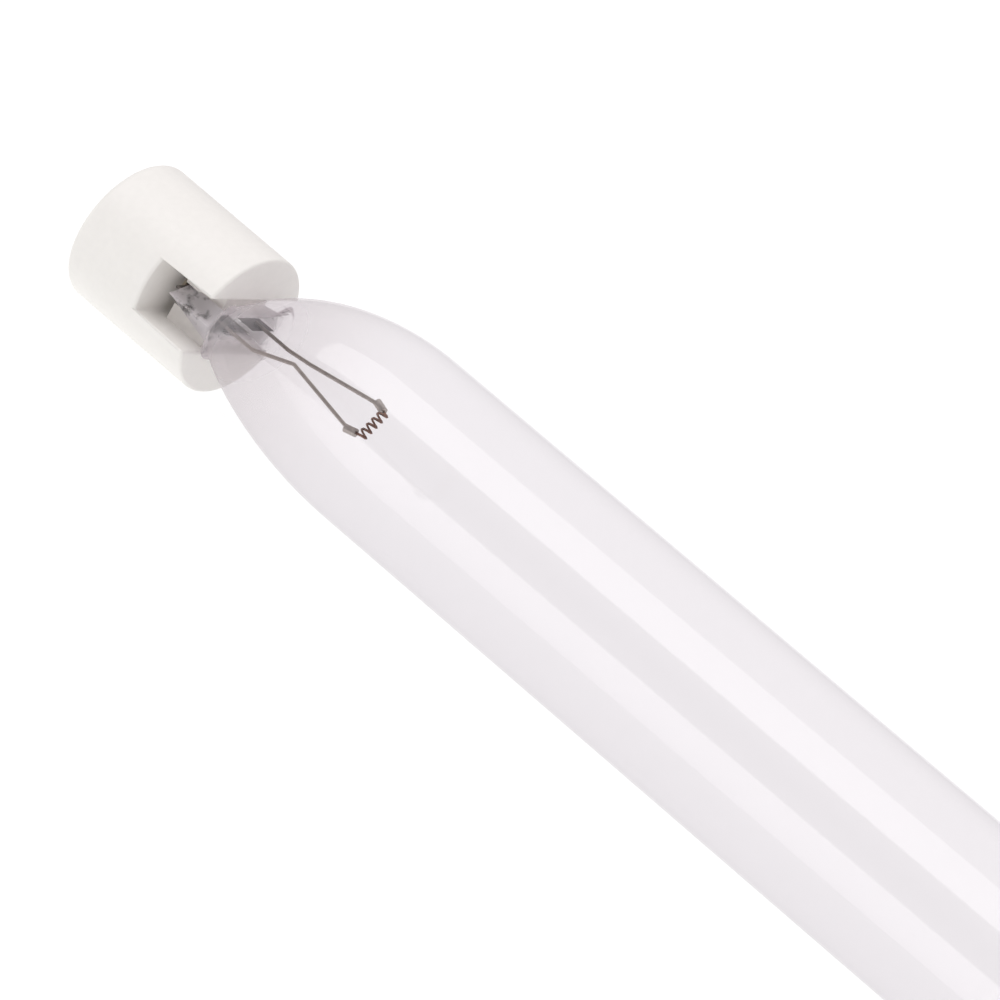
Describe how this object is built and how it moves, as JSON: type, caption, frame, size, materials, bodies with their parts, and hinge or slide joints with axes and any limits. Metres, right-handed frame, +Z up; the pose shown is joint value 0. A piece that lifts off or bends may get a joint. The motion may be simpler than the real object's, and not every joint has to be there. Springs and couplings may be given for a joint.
{
  "type": "uv-c lamp tube",
  "caption": "Clear quartz ultraviolet lamp tube, pinched flat at both ends, with slotted white ceramic end caps, sealing foils, lead wires and electrode coils.",
  "frame": {"origin": "the lowest line of the tube, halfway between the caps' end faces; the caps' common axis lies 1.15 mm below the tube's axis, because the picture shows the seal and the cap that far beside it", "axes": "+X along the lamp towards end b; +Z up; the end that the picture shows is end a, at -X"},
  "size_m": [0.287, 0.019, 0.019],
  "materials": {
    "quartz": "polished",
    "ceramic": "matte",
    "contact_metal": "satin",
    "tungsten": "satin",
    "molybdenum_foil": "satin",
    "lead_wire": "satin",
    "cement": "matte",
    "mercury": "polished"
  },
  "bodies": {
    "root": {"quartz_tube": "quartz", "end_cap_a": "ceramic", "contact_a": "contact_metal", "filament_coil_a": "tungsten", "foil_a1": "molybdenum_foil", "outer_lead_a1": "lead_wire", "inner_lead_a1": "lead_wire", "cement_a1": "cement", "foil_a2": "molybdenum_foil", "outer_lead_a2": "lead_wire", "inner_lead_a2": "lead_wire", "cement_a2": "cement", "end_cap_b": "ceramic", "contact_b": "contact_metal", "filament_coil_b": "tungsten", "foil_b1": "molybdenum_foil", "outer_lead_b1": "lead_wire", "inner_lead_b1": "lead_wire", "cement_b1": "cement", "foil_b2": "molybdenum_foil", "outer_lead_b2": "lead_wire", "inner_lead_b2": "lead_wire", "cement_b2": "cement", "mercury_drop": "mercury"}
  },
  "joints": []
}
